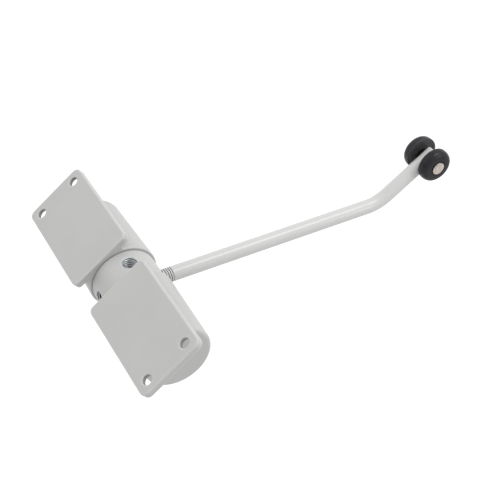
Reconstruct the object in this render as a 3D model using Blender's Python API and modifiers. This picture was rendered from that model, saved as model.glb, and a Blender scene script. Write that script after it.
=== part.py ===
"""Surface-mounted spring door closer with a bent roller arm.

Two equal castings, each a cup with its mounting plate, stand end to end on one axis. A collar turns
between them on a spindle, two torsion springs in the cups turn it back, and a bent rod screwed into
one of its four sockets carries two rollers.

The mounting faces lie in the plane y = 0 and look along +Y. The body's axis is parallel to Z, and the
origin is the centre of the lower housing's mounting face.
"""

import math

import bmesh
import bpy
from mathutils import Vector

MM = 0.001

# Body
AXIS_DEPTH = 24.8 * MM          # from the mounting plane to the body's axis
PLATE_WIDTH = 46.0 * MM
PLATE_LENGTH = 78.5 * MM
PLATE_THICKNESS = 5.0 * MM
PLATE_CORNER = 4.0 * MM
PLATE_EDGE = 0.9 * MM
MOUTH_Z = 11.5 * MM             # from the collar's middle to each housing's open end
CUP_LENGTH = 56.0 * MM
CUP_RADIUS_MOUTH = 23.25 * MM
CUP_RADIUS_END = 22.0 * MM
CUP_MOUTH_EDGE = 0.7 * MM
CUP_END_EDGE = 2.2 * MM
SADDLE_FILLET = 3.5 * MM        # between the plate's underside and the cup
BORE_RADIUS = 19.0 * MM
WEB_THICKNESS = 5.0 * MM        # wall that carries the spindle's bush
RECESS_RADIUS = 18.0 * MM
RECESS_DEPTH = 5.5 * MM
SCREW_PITCH = 30.0 * MM
SCREW_SETBACK = 7.5 * MM        # from the plate's outer edge
SCREW_RADIUS = 3.25 * MM
COUNTERSINK_RADIUS = 5.6 * MM
COUNTERSINK_DEPTH = 2.4 * MM

# Collar
COLLAR_RADIUS = 21.6 * MM
COLLAR_HALF = 11.0 * MM
COLLAR_EDGE = 0.5 * MM
SOCKET_RADIUS = 4.95 * MM
SOCKET_FLOOR = 11.5 * MM        # radius at which the sockets end
SOCKET_COUNT = 4
SQUARE = 13.4 * MM              # the spindle's driving square

# Spindle and its stack
SPINDLE_RADIUS = 6.0 * MM
SQUARE_HALF_LENGTH = 10.6 * MM
GROOVE_RADIUS = 5.2 * MM
RUNNING_GAP = 0.3 * MM
BUSH_RADIUS = 8.2 * MM
BUSH_FLANGE_RADIUS = 10.5 * MM
BUSH_FLANGE = 1.5 * MM
WASHER_RADIUS = 10.5 * MM
WASHER_THICKNESS = 1.0 * MM
RING_THICKNESS = 1.0 * MM
RING_RADIUS = 8.2 * MM
RING_OPENING = 5.0 * MM
CAP_WALL = 1.2 * MM
THRUST_INNER = 17.3 * MM
THRUST_OUTER = 20.0 * MM
THRUST_DEPTH = 2.2 * MM
GUIDE_RADIUS = 11.0 * MM

# Torsion springs
WIRE_RADIUS = 1.75 * MM
COIL_RADIUS = 15.0 * MM
COIL_TURNS = 9.5
COIL_START = 16.8 * MM
COIL_END = 51.6 * MM
COIL_POINTS_PER_TURN = 10
TANG_HOLE_RADIUS = 2.1 * MM
TANG_DEPTH = 5.0 * MM
COLLAR_TANG_ANGLE = math.radians(-90.0)   # on the Y axis, so both sides' tangs line up

# Arm and rollers
ARM_ANGLE = math.radians(-38.0)  # from +X, with the springs at rest
ROD_RADIUS = 5.0 * MM
THREAD_RADIUS = 4.6 * MM
THREAD_START = 12.2 * MM
THREAD_END = 30.0 * MM
BEND_DISTANCE = 187.0 * MM
BEND_ANGLE = math.radians(34.6)
BEND_RADIUS = 28.0 * MM
BEND_STEPS = 8
PIN_DISTANCE = 46.1 * MM        # from the bend's corner to the roller pin
TIP_LENGTH = 6.8 * MM           # past the pin
TIP_HALF_THICKNESS = 4.3 * MM
PIN_RADIUS = 3.0 * MM
PIN_HEAD_RADIUS = 4.6 * MM
PIN_HEAD_THICKNESS = 1.1 * MM
ROLLER_RADIUS = 12.0 * MM
ROLLER_INNER = 6.0 * MM         # roller's inner face, from the arm's middle
ROLLER_WIDTH = 7.6 * MM
ROLLER_SHOULDER = 5.6 * MM
ROLLER_EDGE = 0.6 * MM
SPACER_RADIUS = 4.6 * MM

COLLAR_Z = MOUTH_Z + PLATE_LENGTH / 2
CUP_END_Z = MOUTH_Z + CUP_LENGTH
WEB_OUTER_Z = CUP_END_Z - RECESS_DEPTH
WEB_INNER_Z = WEB_OUTER_Z - WEB_THICKNESS
THRUST_SHOULDER_Z = MOUTH_Z + THRUST_DEPTH
WASHER_Z = WEB_OUTER_Z + RUNNING_GAP
RING_Z = WASHER_Z + WASHER_THICKNESS + RUNNING_GAP
CAP_OUTER_Z = CUP_END_Z - 0.1 * MM
CAP_INNER_Z = CAP_OUTER_Z - CAP_WALL
SPINDLE_END_Z = CAP_INNER_Z - 0.6 * MM
ROLLER_OUTER = ROLLER_INNER + ROLLER_WIDTH
PIN_HEAD_Z = ROLLER_OUTER + RUNNING_GAP
BORE_CLEARANCE = PIN_RADIUS + RUNNING_GAP

FINE = 36
MEDIUM = 20
SMALL = 14


# ---------------------------------------------------------------- scene and materials

def start_empty_scene():
    for obj in list(bpy.data.objects):
        bpy.data.objects.remove(obj, do_unlink=True)


def make_collection(name):
    collection = bpy.data.collections.new(name)
    bpy.context.scene.collection.children.link(collection)
    return collection


def make_material(name, color, roughness, metallic):
    material = bpy.data.materials.new(name)
    material.use_nodes = True
    shader = material.node_tree.nodes["Principled BSDF"]
    shader.inputs["Base Color"].default_value = (*color, 1.0)
    shader.inputs["Roughness"].default_value = roughness
    shader.inputs["Metallic"].default_value = metallic
    material.diffuse_color = (*color, 1.0)
    return material


start_empty_scene()
PARTS = make_collection("door_closer")
CUTTERS = make_collection("cutters")

WHITE_PAINT = make_material("white_paint", (0.62, 0.62, 0.61), 0.45, 0.0)
COLLAR_PAINT = make_material("collar_paint", (0.63, 0.63, 0.62), 0.45, 0.0)
ARM_PAINT = make_material("arm_paint", (0.64, 0.64, 0.63), 0.35, 0.0)
BARE_STEEL = make_material("bare_steel", (0.56, 0.55, 0.53), 0.35, 1.0)
SPRING_STEEL = make_material("spring_steel", (0.20, 0.20, 0.21), 0.40, 1.0)
BRONZE = make_material("bronze", (0.55, 0.38, 0.18), 0.40, 1.0)
BLACK_PLASTIC = make_material("black_plastic", (0.03, 0.03, 0.035), 0.45, 0.0)
NATURAL_NYLON = make_material("natural_nylon", (0.75, 0.72, 0.62), 0.55, 0.0)


# ---------------------------------------------------------------- placing and shaping

def make_empty(name, parent=None, location=(0.0, 0.0, 0.0), rotation=(0.0, 0.0, 0.0)):
    empty = bpy.data.objects.new(name, None)
    empty.empty_display_size = 10 * MM
    PARTS.objects.link(empty)
    empty.parent = parent
    empty.location = location
    empty.rotation_euler = rotation
    return empty


def add_object(name, mesh, parent, material=None, location=(0.0, 0.0, 0.0), rotation=(0.0, 0.0, 0.0)):
    """Put a mesh under its parent; one with no material is a cutter or a shape to join."""
    obj = bpy.data.objects.new(name, mesh)
    obj.parent = parent
    obj.location = location
    obj.rotation_euler = rotation
    if material is None:
        CUTTERS.objects.link(obj)
        obj.hide_render = True
        obj.display_type = "WIRE"
    else:
        PARTS.objects.link(obj)
        mesh.materials.append(material)
    return obj


def turned(name, profile, parent, material=None, steps=FINE, closed=False, **place):
    """Turn a profile of (radius, height) points, top to bottom on its outer side, about Z."""
    mesh = bpy.data.meshes.new(name)
    points = [(radius, 0.0, height) for radius, height in profile]
    edges = [(i, i + 1) for i in range(len(points) - 1)]
    if closed:
        edges.append((len(points) - 1, 0))
    mesh.from_pydata(points, edges, [])
    obj = add_object(name, mesh, parent, material, **place)
    screw = obj.modifiers.new("turn", "SCREW")
    screw.steps = steps
    screw.render_steps = steps
    screw.use_merge_vertices = True
    screw.merge_threshold = 0.00001
    screw.use_smooth_shade = True
    return obj


def ring(name, inner, outer, low, high, parent, material=None, steps=MEDIUM, **place):
    """Turn a plain ring with a rectangular section."""
    profile = [(outer, high), (outer, low), (inner, low), (inner, high)]
    return turned(name, profile, parent, material, steps, closed=True, **place)


def block(name, low, high, parent, material=None, **place):
    """Make a box between two corners."""
    size = Vector(high) - Vector(low)
    middle = (Vector(high) + Vector(low)) / 2
    mesh = bpy.data.meshes.new(name)
    shape = bmesh.new()
    bmesh.ops.create_cube(shape, size=1.0)
    bmesh.ops.scale(shape, vec=size, verts=shape.verts)
    bmesh.ops.translate(shape, vec=middle, verts=shape.verts)
    shape.to_mesh(mesh)
    shape.free()
    return add_object(name, mesh, parent, material, **place)


def rod(name, radius, low, high, parent, material=None, steps=MEDIUM, **place):
    """Turn a plain cylinder between two heights."""
    profile = [(0.0, high), (radius, high), (radius, low), (0.0, low)]
    return turned(name, profile, parent, material, steps, **place)


def boolean(obj, other, operation):
    modifier = obj.modifiers.new(operation.lower(), "BOOLEAN")
    modifier.operation = operation
    modifier.object = other
    modifier.solver = "EXACT"


def cut(obj, *cutters):
    for cutter in cutters:
        boolean(obj, cutter, "DIFFERENCE")


def join(obj, *shapes):
    for shape in shapes:
        boolean(obj, shape, "UNION")


def wire(name, points, radius, resolution, parent, material):
    """Run a round wire with closed ends through points, as a mesh."""
    curve = bpy.data.curves.new(name, "CURVE")
    curve.dimensions = "3D"
    curve.bevel_depth = radius
    curve.bevel_resolution = resolution
    curve.use_fill_caps = True
    spline = curve.splines.new("POLY")
    spline.points.add(len(points) - 1)
    for spot, point in zip(spline.points, points):
        spot.co = (*point, 1.0)
    path = bpy.data.objects.new(name + "_path", curve)
    PARTS.objects.link(path)
    bpy.context.view_layer.update()
    depsgraph = bpy.context.evaluated_depsgraph_get()
    mesh = bpy.data.meshes.new_from_object(path.evaluated_get(depsgraph))
    bpy.data.objects.remove(path, do_unlink=True)
    shape = bmesh.new()
    shape.from_mesh(mesh)
    bmesh.ops.remove_doubles(shape, verts=shape.verts, dist=0.00001)
    shape.to_mesh(mesh)
    shape.free()
    mesh.materials.clear()
    obj = add_object(name, mesh, parent, material)
    mesh.shade_smooth()
    mesh.set_sharp_from_angle(angle=math.radians(40.0))
    return obj


# ---------------------------------------------------------------- housings

def plate_mesh(name):
    """Make the mounting plate: a slab with round corners and softened edges."""
    mesh = bpy.data.meshes.new(name)
    shape = bmesh.new()
    bmesh.ops.create_cube(shape, size=1.0)
    bmesh.ops.scale(shape, vec=(PLATE_WIDTH, PLATE_THICKNESS, PLATE_LENGTH), verts=shape.verts)
    middle = (0.0, AXIS_DEPTH - PLATE_THICKNESS / 2, MOUTH_Z + PLATE_LENGTH / 2)
    bmesh.ops.translate(shape, vec=middle, verts=shape.verts)
    corners = [
        edge for edge in shape.edges
        if abs(edge.verts[0].co.y - edge.verts[1].co.y) > PLATE_THICKNESS / 2
    ]
    bmesh.ops.bevel(
        shape, geom=corners, offset=PLATE_CORNER, offset_type="OFFSET",
        segments=3, profile=0.5, affect="EDGES",
    )
    rims = [
        edge for edge in shape.edges
        if abs(edge.verts[0].co.y - edge.verts[1].co.y) < MM / 100
    ]
    bmesh.ops.bevel(
        shape, geom=rims, offset=PLATE_EDGE, offset_type="OFFSET",
        segments=2, profile=0.5, affect="EDGES",
    )
    shape.to_mesh(mesh)
    shape.free()
    return mesh


def saddle_section(cup_radius):
    """Outline of the metal between plate and cup, with a fillet tangent to both on each side.

    Each fillet's centre is one fillet radius below the plate's underside and one fillet radius
    outside the cup, so its sine and cosine follow from those two distances.
    """
    underside = AXIS_DEPTH - PLATE_THICKNESS
    centre_y = underside - SADDLE_FILLET
    reach = cup_radius + SADDLE_FILLET
    centre_x = math.sqrt(reach ** 2 - centre_y ** 2)
    touch = math.atan2(-centre_y, -centre_x) % math.tau
    steps = 6
    right = [(centre_x, AXIS_DEPTH - PLATE_THICKNESS / 2)]
    for step in range(steps + 1):
        turn = math.pi / 2 + (touch - math.pi / 2) * step / steps
        x = centre_x + SADDLE_FILLET * math.cos(turn)
        y = centre_y + SADDLE_FILLET * math.sin(turn)
        right.append((x, y))
    right.append((0.8 * right[-1][0], 0.8 * right[-1][1]))
    left = [(-x, y) for x, y in reversed(right)]
    return right + left


def saddle_mesh(name):
    """Loft the saddle from the cup's mouth to where the end's rounding begins."""
    mesh = bpy.data.meshes.new(name)
    shape = bmesh.new()
    length_share = 1.0 - CUP_END_EDGE / CUP_LENGTH
    far_radius = CUP_RADIUS_MOUTH + (CUP_RADIUS_END - CUP_RADIUS_MOUTH) * length_share
    ends = [
        (CUP_RADIUS_MOUTH, MOUTH_Z),
        (far_radius, CUP_END_Z - CUP_END_EDGE),
    ]
    loops = []
    for radius, height in ends:
        loops.append([shape.verts.new((x, y, height)) for x, y in saddle_section(radius)])
    count = len(loops[0])
    for i in range(count):
        j = (i + 1) % count
        shape.faces.new((loops[0][i], loops[0][j], loops[1][j], loops[1][i]))
    for loop in loops:
        shape.faces.new(loop)
    bmesh.ops.recalc_face_normals(shape, faces=shape.faces)
    shape.to_mesh(mesh)
    shape.free()
    return mesh


def rounded_corner(radius, height, size, start, steps=3):
    """Points of a round profile corner, from angle start through a quarter turn clockwise."""
    points = []
    for step in range(steps + 1):
        turn = start - math.pi / 2 * step / steps
        points.append((radius + size * math.cos(turn), height + size * math.sin(turn)))
    return points


def make_housing(side, parent):
    name = side + "_housing"
    cup_profile = [(0.0, CUP_END_Z)]
    cup_profile += rounded_corner(
        CUP_RADIUS_END - CUP_END_EDGE, CUP_END_Z - CUP_END_EDGE, CUP_END_EDGE, math.pi / 2)
    cup_profile += rounded_corner(
        CUP_RADIUS_MOUTH - CUP_MOUTH_EDGE, MOUTH_Z + CUP_MOUTH_EDGE, CUP_MOUTH_EDGE, 0.0)
    cup_profile.append((0.0, MOUTH_Z))
    housing = turned(name, cup_profile, parent, WHITE_PAINT, steps=FINE)

    plate = add_object(name + "_plate", plate_mesh(name + "_plate"), parent)
    saddle = add_object(name + "_saddle", saddle_mesh(name + "_saddle"), parent)
    join(housing, plate, saddle)

    past = 2 * MM
    bush_hole = BUSH_RADIUS + RUNNING_GAP
    counterbore = THRUST_OUTER + RUNNING_GAP
    inside = turned(
        name + "_inside",
        [
            (0.0, CUP_END_Z + past),
            (RECESS_RADIUS, CUP_END_Z + past),
            (RECESS_RADIUS, WEB_OUTER_Z),
            (bush_hole, WEB_OUTER_Z),
            (bush_hole, WEB_INNER_Z),
            (BORE_RADIUS, WEB_INNER_Z),
            (BORE_RADIUS, THRUST_SHOULDER_Z),
            (counterbore, THRUST_SHOULDER_Z),
            (counterbore, MOUTH_Z - past),
            (0.0, MOUTH_Z - past),
        ],
        parent,
    )
    tang_hole = rod(
        name + "_tang_hole", TANG_HOLE_RADIUS, WEB_INNER_Z - past, WEB_OUTER_Z + past,
        parent, steps=12, location=housing_tang_place(),
    )
    cut(housing, inside, tang_hole)

    for index, x in enumerate((-SCREW_PITCH / 2, SCREW_PITCH / 2)):
        sink_start = COUNTERSINK_DEPTH - PLATE_THICKNESS
        hole = turned(
            "%s_screw_hole_%d" % (name, index),
            [
                (0.0, past),
                (SCREW_RADIUS, past),
                (SCREW_RADIUS, sink_start),
                (COUNTERSINK_RADIUS, -PLATE_THICKNESS),
                (COUNTERSINK_RADIUS, -PLATE_THICKNESS - past),
                (0.0, -PLATE_THICKNESS - past),
            ],
            parent, steps=SMALL,
            location=(x, AXIS_DEPTH, MOUTH_Z + PLATE_LENGTH - SCREW_SETBACK),
            rotation=(-math.pi / 2, 0.0, 0.0),
        )
        cut(housing, hole)
    return housing


# ---------------------------------------------------------------- springs

def coil_phase(hand):
    """Angle of the coil's outer end: it starts at the collar's tang and winds COIL_TURNS."""
    return COLLAR_TANG_ANGLE + hand * math.tau * COIL_TURNS


def housing_tang_place():
    turn = coil_phase(1)
    return (COIL_RADIUS * math.cos(turn), COIL_RADIUS * math.sin(turn), 0.0)


def make_spring(side, hand, parent):
    """Wind a close coil whose two ends turn down into straight tangs along the axis."""
    points = []
    start = (COIL_RADIUS * math.cos(COLLAR_TANG_ANGLE), COIL_RADIUS * math.sin(COLLAR_TANG_ANGLE))
    points.append((*start, COLLAR_HALF - TANG_DEPTH))
    points.append((*start, COIL_START - WIRE_RADIUS))
    count = int(COIL_TURNS * COIL_POINTS_PER_TURN)
    for i in range(1, count):
        share = i / count
        turn = COLLAR_TANG_ANGLE + hand * math.tau * COIL_TURNS * share
        height = COIL_START + (COIL_END - COIL_START) * share
        points.append((COIL_RADIUS * math.cos(turn), COIL_RADIUS * math.sin(turn), height))
    turn = coil_phase(hand)
    end = (COIL_RADIUS * math.cos(turn), COIL_RADIUS * math.sin(turn))
    points.append((*end, COIL_END + WIRE_RADIUS))
    points.append((*end, WEB_OUTER_Z - MM))
    return wire(side + "_spring", points, WIRE_RADIUS, 2, parent, SPRING_STEEL)


# ---------------------------------------------------------------- the stack in each housing

def make_side(side, hand, parent):
    make_housing(side, parent)
    make_spring(side, hand, parent)

    ring(
        side + "_thrust_ring", THRUST_INNER, THRUST_OUTER,
        COLLAR_HALF + RUNNING_GAP, THRUST_SHOULDER_Z - RUNNING_GAP,
        parent, BLACK_PLASTIC, steps=FINE,
    )
    flange_low = WEB_INNER_Z - RUNNING_GAP - BUSH_FLANGE
    bush_bore = SPINDLE_RADIUS + RUNNING_GAP
    turned(
        side + "_bush",
        [
            (BUSH_RADIUS, WEB_OUTER_Z),
            (BUSH_RADIUS, WEB_INNER_Z - RUNNING_GAP),
            (BUSH_FLANGE_RADIUS, WEB_INNER_Z - RUNNING_GAP),
            (BUSH_FLANGE_RADIUS, flange_low),
            (bush_bore, flange_low),
            (bush_bore, WEB_OUTER_Z),
        ],
        parent, BRONZE, steps=MEDIUM, closed=True,
    )
    ring(
        side + "_spring_guide", SPINDLE_RADIUS + RUNNING_GAP, GUIDE_RADIUS,
        COLLAR_HALF + MM, flange_low - RUNNING_GAP, parent, NATURAL_NYLON,
    )
    ring(
        side + "_washer", SPINDLE_RADIUS + RUNNING_GAP, WASHER_RADIUS,
        WASHER_Z, WASHER_Z + WASHER_THICKNESS, parent, BARE_STEEL,
    )
    circlip = ring(
        side + "_retaining_ring", GROOVE_RADIUS + RUNNING_GAP, RING_RADIUS,
        RING_Z, RING_Z + RING_THICKNESS, parent, SPRING_STEEL,
    )
    opening = block(
        side + "_retaining_ring_opening",
        (-RING_OPENING / 2, 0.0, RING_Z - MM),
        (RING_OPENING / 2, 2 * RING_RADIUS, RING_Z + 2 * MM),
        parent,
    )
    cut(circlip, opening)

    cap_radius = RECESS_RADIUS - RUNNING_GAP
    skirt_low = WEB_OUTER_Z + MM
    turned(
        side + "_end_cap",
        [
            (0.0, CAP_OUTER_Z),
            (cap_radius - 0.3 * MM, CAP_OUTER_Z),
            (cap_radius, CAP_OUTER_Z - 0.3 * MM),
            (cap_radius, skirt_low),
            (cap_radius - CAP_WALL, skirt_low),
            (cap_radius - CAP_WALL, CAP_INNER_Z),
            (0.0, CAP_INNER_Z),
        ],
        parent, WHITE_PAINT, steps=FINE,
    )


# ---------------------------------------------------------------- collar and spindle

def make_collar(parent):
    edge = COLLAR_EDGE
    collar = turned(
        "collar",
        [
            (0.0, COLLAR_HALF),
            (COLLAR_RADIUS - edge, COLLAR_HALF),
            (COLLAR_RADIUS, COLLAR_HALF - edge),
            (COLLAR_RADIUS, -COLLAR_HALF + edge),
            (COLLAR_RADIUS - edge, -COLLAR_HALF),
            (0.0, -COLLAR_HALF),
        ],
        parent, COLLAR_PAINT, steps=FINE,
    )
    half = SQUARE / 2 + RUNNING_GAP
    past = 2 * MM
    square_hole = block(
        "collar_square_hole",
        (-half, -half, -COLLAR_HALF - past), (half, half, COLLAR_HALF + past), parent,
    )
    cut(collar, square_hole)
    for index in range(SOCKET_COUNT):
        socket = rod(
            "collar_socket_%d" % index, SOCKET_RADIUS, SOCKET_FLOOR, COLLAR_RADIUS + past,
            parent, steps=SMALL, rotation=(0.0, math.pi / 2, math.tau * index / SOCKET_COUNT),
        )
        cut(collar, socket)
    for side in (1, -1):
        low = side * (COLLAR_HALF - TANG_DEPTH - MM)
        high = side * (COLLAR_HALF + past)
        hole = rod(
            "collar_tang_hole_%s" % ("upper" if side > 0 else "lower"),
            TANG_HOLE_RADIUS, min(low, high), max(low, high), parent, steps=12,
            location=collar_tang_place(),
        )
        cut(collar, hole)
    return collar


def collar_tang_place():
    """Where a spring's tang enters the collar's face, seen in the collar's own turned frame."""
    turn = COLLAR_TANG_ANGLE - ARM_ANGLE
    return (COIL_RADIUS * math.cos(turn), COIL_RADIUS * math.sin(turn), 0.0)


def make_spindle(parent):
    groove_low = RING_Z - RUNNING_GAP
    groove_high = RING_Z + RING_THICKNESS + RUNNING_GAP
    upper_half = [
        (0.0, SPINDLE_END_Z),
        (SPINDLE_RADIUS - 0.4 * MM, SPINDLE_END_Z),
        (SPINDLE_RADIUS, SPINDLE_END_Z - 0.4 * MM),
        (SPINDLE_RADIUS, groove_high),
        (GROOVE_RADIUS, groove_high),
        (GROOVE_RADIUS, groove_low),
        (SPINDLE_RADIUS, groove_low),
    ]
    lower_half = [(radius, -height) for radius, height in reversed(upper_half)]
    spindle = turned("spindle", upper_half + lower_half, parent, BARE_STEEL, steps=MEDIUM)
    square = block(
        "spindle_square",
        (-SQUARE / 2, -SQUARE / 2, -SQUARE_HALF_LENGTH),
        (SQUARE / 2, SQUARE / 2, SQUARE_HALF_LENGTH),
        parent,
    )
    join(spindle, square)
    return spindle


# ---------------------------------------------------------------- arm and rollers

def arm_path():
    """Centre line in the collar's frame: out along X, round the bend, on to the tip."""
    tangent = BEND_RADIUS * math.tan(BEND_ANGLE / 2)
    points = [(THREAD_END, 0.0, 0.0)]
    for step in range(BEND_STEPS + 1):
        turn = BEND_ANGLE * step / BEND_STEPS
        x = BEND_DISTANCE - tangent + BEND_RADIUS * math.sin(turn)
        y = BEND_RADIUS * (1.0 - math.cos(turn))
        points.append((x, y, 0.0))
    reach = PIN_DISTANCE + TIP_LENGTH
    points.append((
        BEND_DISTANCE + reach * math.cos(BEND_ANGLE), reach * math.sin(BEND_ANGLE), 0.0))
    return points


def make_arm(parent, pin_frame):
    arm = wire("arm", arm_path(), ROD_RADIUS, 6, parent, ARM_PAINT)
    thread = rod(
        "arm_thread", THREAD_RADIUS, THREAD_START, THREAD_END + 2 * MM, parent,
        steps=SMALL, rotation=(0.0, math.pi / 2, 0.0),
    )
    join(arm, thread)
    wide = 2 * ROD_RADIUS
    for side in (1, -1):
        near = side * TIP_HALF_THICKNESS
        far = side * wide
        flat = block(
            "arm_flat_%s" % ("upper" if side > 0 else "lower"),
            (-TIP_LENGTH - MM, -wide, min(near, far)),
            (TIP_LENGTH + 2 * MM, wide, max(near, far)),
            pin_frame,
        )
        cut(arm, flat)
    cross_hole = rod("arm_cross_hole", BORE_CLEARANCE, -wide, wide, pin_frame, steps=SMALL)
    cut(arm, cross_hole)
    return arm


def make_roller(side, sign, pin_frame):
    """Turn a roller with a sharp inner rim and a generously rounded outer shoulder."""
    shoulder = rounded_corner(
        ROLLER_RADIUS - ROLLER_SHOULDER, ROLLER_OUTER - ROLLER_SHOULDER,
        ROLLER_SHOULDER, math.pi / 2, steps=6)
    profile = shoulder + [
        (ROLLER_RADIUS, ROLLER_INNER + ROLLER_EDGE),
        (ROLLER_RADIUS - ROLLER_EDGE, ROLLER_INNER),
        (BORE_CLEARANCE, ROLLER_INNER),
        (BORE_CLEARANCE, ROLLER_OUTER),
    ]
    flip = 0.0 if sign > 0 else math.pi
    turned(
        side + "_roller", profile, pin_frame, BLACK_PLASTIC, steps=FINE, closed=True,
        rotation=(flip, 0.0, 0.0),
    )
    ring(
        side + "_roller_washer", BORE_CLEARANCE, SPACER_RADIUS,
        TIP_HALF_THICKNESS + RUNNING_GAP, ROLLER_INNER - RUNNING_GAP,
        pin_frame, BARE_STEEL, rotation=(flip, 0.0, 0.0),
    )


def make_roller_pin(pin_frame):
    """Rivet: a plain shank with a low domed head at each end."""
    head_top = PIN_HEAD_Z + PIN_HEAD_THICKNESS
    upper_half = [
        (0.0, head_top),
        (0.75 * PIN_HEAD_RADIUS, head_top),
        (PIN_HEAD_RADIUS, head_top - 0.5 * MM),
        (PIN_HEAD_RADIUS, PIN_HEAD_Z),
        (PIN_RADIUS, PIN_HEAD_Z),
    ]
    lower_half = [(radius, -height) for radius, height in reversed(upper_half)]
    turned("roller_pin", upper_half + lower_half, pin_frame, BARE_STEEL, steps=MEDIUM)


# ---------------------------------------------------------------- assembly

def build():
    body_axis = make_empty("body_axis", location=(0.0, -AXIS_DEPTH, COLLAR_Z))
    upper_side = make_empty("upper_side", body_axis)
    lower_side = make_empty("lower_side", body_axis, rotation=(0.0, math.pi, 0.0))
    make_side("upper", 1, upper_side)
    make_side("lower", -1, lower_side)

    collar_frame = make_empty("collar_frame", body_axis, rotation=(0.0, 0.0, ARM_ANGLE))
    pin_frame = make_empty(
        "pin_frame", collar_frame,
        location=(
            BEND_DISTANCE + PIN_DISTANCE * math.cos(BEND_ANGLE),
            PIN_DISTANCE * math.sin(BEND_ANGLE),
            0.0,
        ),
        rotation=(0.0, 0.0, BEND_ANGLE),
    )
    make_collar(collar_frame)
    make_spindle(collar_frame)
    make_arm(collar_frame, pin_frame)
    make_roller("upper", 1, pin_frame)
    make_roller("lower", -1, pin_frame)
    make_roller_pin(pin_frame)


build()
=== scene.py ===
"""Looks of a surface-mounted spring door closer with a bent roller arm.

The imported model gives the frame. The castings are worked out as smooth solids and given a skin, the
turned pieces and the rod are profiles carried round an axis or along a path, and every finish is
procedural. Lengths in the shape functions are millimetres, and each piece is put in metres at the end.
"""

import bmesh
import bpy
import numpy as np
from mathutils import Matrix


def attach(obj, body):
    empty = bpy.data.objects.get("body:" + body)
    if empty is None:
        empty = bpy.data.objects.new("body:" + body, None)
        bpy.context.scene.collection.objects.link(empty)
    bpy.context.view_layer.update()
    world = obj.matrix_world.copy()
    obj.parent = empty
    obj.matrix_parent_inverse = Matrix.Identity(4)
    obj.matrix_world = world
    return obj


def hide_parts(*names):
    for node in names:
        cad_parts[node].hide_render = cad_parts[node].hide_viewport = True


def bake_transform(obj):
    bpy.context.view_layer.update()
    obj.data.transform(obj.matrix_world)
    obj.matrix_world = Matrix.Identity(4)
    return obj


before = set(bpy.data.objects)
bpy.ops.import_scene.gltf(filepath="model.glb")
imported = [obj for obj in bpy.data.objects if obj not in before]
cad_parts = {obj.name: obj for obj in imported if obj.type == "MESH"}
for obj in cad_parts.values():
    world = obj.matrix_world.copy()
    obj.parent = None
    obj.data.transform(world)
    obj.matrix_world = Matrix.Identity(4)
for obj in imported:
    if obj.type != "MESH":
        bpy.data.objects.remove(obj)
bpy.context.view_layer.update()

MM = 0.001
TAU = 2.0 * np.pi

# ---------------------------------------------------------------- dimensions, in millimetres

AXIS_DEPTH = 24.8
COLLAR_Z = 50.75
PLATE_WIDTH = 46.0
PLATE_LENGTH = 78.5
PLATE_THICKNESS = 5.0
PLATE_CORNER = 4.4
PLATE_EDGE = 0.65
MOUTH_Z = 11.5
MOUTH_EDGE = 0.8
MOUTH_TRIM = 0.4
CUP_END_Z = 67.5
CUP_RADIUS_MOUTH = 23.25
CUP_RADIUS_END = 22.0
CUP_END_EDGE = 2.0
SADDLE_FILLET = 3.6
BORE_RADIUS = 19.0
THRUST_BORE = 20.3
THRUST_SHOULDER_Z = 13.7
WEB_INNER_Z = 57.0
WEB_OUTER_Z = 62.0
BUSH_HOLE = 8.5
CAP_INNER_Z = 66.2
RECESS_RADIUS = 17.7
SCREW_PITCH = 30.0
SCREW_SETBACK = 7.5
SCREW_RADIUS = 3.25
COUNTERSINK_RADIUS = 5.6
COUNTERSINK_DEPTH = 1.8
SCREW_HOLE_FROM = 10.0
TANG_RADIUS = 2.1
TANG_CIRCLE = 15.0

COLLAR_RADIUS = 21.6
COLLAR_HALF = 11.0
COLLAR_EDGE = 0.6
SOCKET_WALL = 4.95
SOCKET_FLOOR = 11.5
SQUARE_HALF = 7.0

THREAD_PITCH = 1.5
THREAD_DEPTH = 0.85
SOCKET_CREST = 3.9
ROOT_VALLEY = 4.1

ARM_ANGLE = np.radians(-38.0)
ROD_RADIUS = 5.0
THREAD_START = 12.4
THREAD_END = 28.0
BEND_DISTANCE = 187.0
BEND_ANGLE = np.radians(34.6)
BEND_RADIUS = 28.0
PIN_DISTANCE = 46.1
TIP_LENGTH = 6.8
TIP_HALF_THICKNESS = 4.3
TIP_EDGE = 1.2
FLATS_LENGTH = 16.5
FLATS_RUNOUT = 4.0
FULL_HALF_THICKNESS = 5.6
THREAD_LEAD_RADIUS = 3.4
PAINT_OVERLAP = 0.35

ROLLER_RADIUS = 12.0
ROLLER_INNER = 6.0
ROLLER_OUTER = 13.1
ROLLER_TREAD = 11.75
ROLLER_SHOULDER = 4.6
ROLLER_SEAT = 5.35
ROLLER_BORE = 3.3
ROLLER_HUB = 4.7
DISH_LOW = 5.1
DISH_HIGH = 9.3
DISH_RIM = 9.9
DISH_DEPTH = 0.3
SEAT_DEPTH = 0.8
SPACER_RADIUS = 4.6
SPACER_LOW = 4.6
SPACER_TOP = 5.7
PIN_RADIUS = 3.0
PIN_HEAD_RADIUS = 4.75
PIN_HEAD_LOW = 12.6
PIN_HEAD_TOP = 14.0

WIRE_RADIUS = 1.75
COIL_START = 16.8
COIL_END = 51.6
COIL_TURNS = 9.5
TANG_LENGTH = 11.0
TANG_EASE = 1.2
COIL_FIRST_ANGLE = np.radians(-90.0)


# ---------------------------------------------------------------- meshes from whole arrays

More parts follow.
